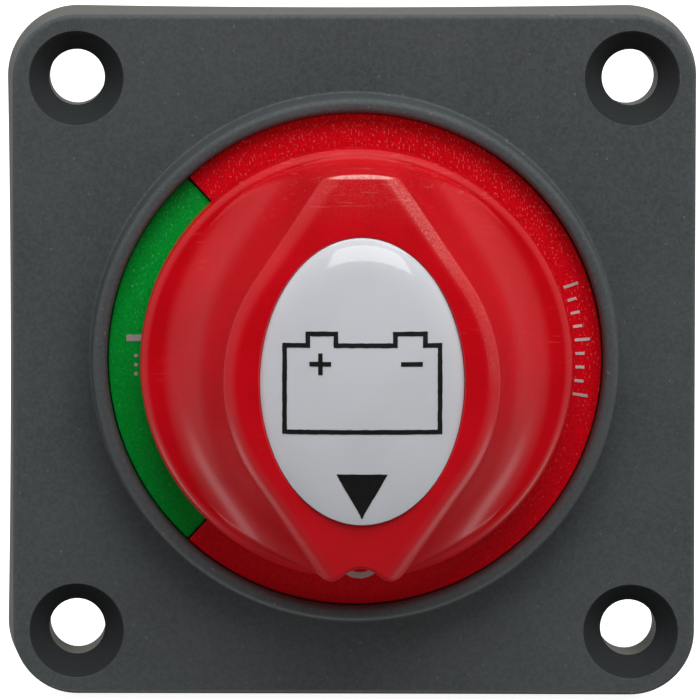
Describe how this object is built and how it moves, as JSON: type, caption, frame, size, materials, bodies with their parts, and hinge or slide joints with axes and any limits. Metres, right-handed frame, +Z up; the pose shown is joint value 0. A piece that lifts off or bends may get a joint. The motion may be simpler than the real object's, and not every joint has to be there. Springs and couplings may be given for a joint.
{
  "type": "battery switch",
  "caption": "Panel-mount rotary battery isolator: square flange with round collar, red turn knob with oval label, red and green dial, round rear drum with threaded terminals.",
  "frame": {"origin": "on the knob's axis, in the panel plane, which is the back face of the flange", "axes": "-Y out of the panel towards the user, +Z up with the knob pointing down in the OFF position, +X to the user's right"},
  "size_m": [0.0694, 0.0766, 0.0694],
  "materials": {
    "plate": "fine moulded texture, slate grey",
    "dial_red": "grained, bright red",
    "dial_green": "grained, green",
    "print_white": "white pad print",
    "knob_red": "satin, slightly translucent red",
    "label_white": "white under a clear domed gloss",
    "print_black": "black print under gloss",
    "housing": "black moulded plastic",
    "rubber": "matt black rubber",
    "steel": "stainless, turned",
    "tinned": "tin-plated copper alloy",
    "copper": "bare copper, rolled",
    "silver": "silver-plated contact tip",
    "acetal": "natural acetal",
    "nylon": "natural glass-filled nylon"
  },
  "bodies": {
    "housing": {"front_plate": "plate", "dial_red": "dial_red", "dial_green": "dial_green", "dial_marks": "print_white", "panel_gasket": "rubber", "housing_seal": "rubber", "stop_pin": "steel", "thrust_washer": "acetal", "rear_housing": "housing", "housing_screws": "steel", "stud_left": "tinned", "stud_right": "tinned", "stud_seals": "rubber", "stud_contact_tips": "silver", "terminal_washers": "steel", "terminal_spring_washers": "steel", "terminal_nuts": "steel", "return_spring": "steel"},
    "rotor": {"rotor": "acetal", "rotor_seal": "rubber", "knob": "knob_red", "knob_washer": "steel", "knob_screw": "steel", "knob_label": "label_white", "label_print": "print_black"},
    "carrier": {"contact_carrier": "nylon", "bridge_spring": "steel", "bridge_clip": "steel"},
    "bridge": {"contact_bridge": "copper", "bridge_contact_tips": "silver"}
  },
  "joints": [
    {"name": "knob_turn", "type": "hinge", "parent": "housing", "child": "rotor", "pos_m": [0, 0, 0], "axis": [0, 1, 0], "range_deg": [0, 90]},
    {"name": "carrier_slide", "type": "slide", "parent": "housing", "child": "carrier", "axis": [0, 1, 0], "range_m": [0, 0.003], "deforming": ["return_spring"]},
    {"name": "bridge_float", "type": "slide", "parent": "carrier", "child": "bridge", "axis": [0, -1, 0], "range_m": [0, 0.0006], "deforming": ["bridge_spring"]}
  ],
  "couplings": [
    {"joint": "carrier_slide", "follows": "knob_turn", "m_per_rad": 0.0019099}
  ]
}
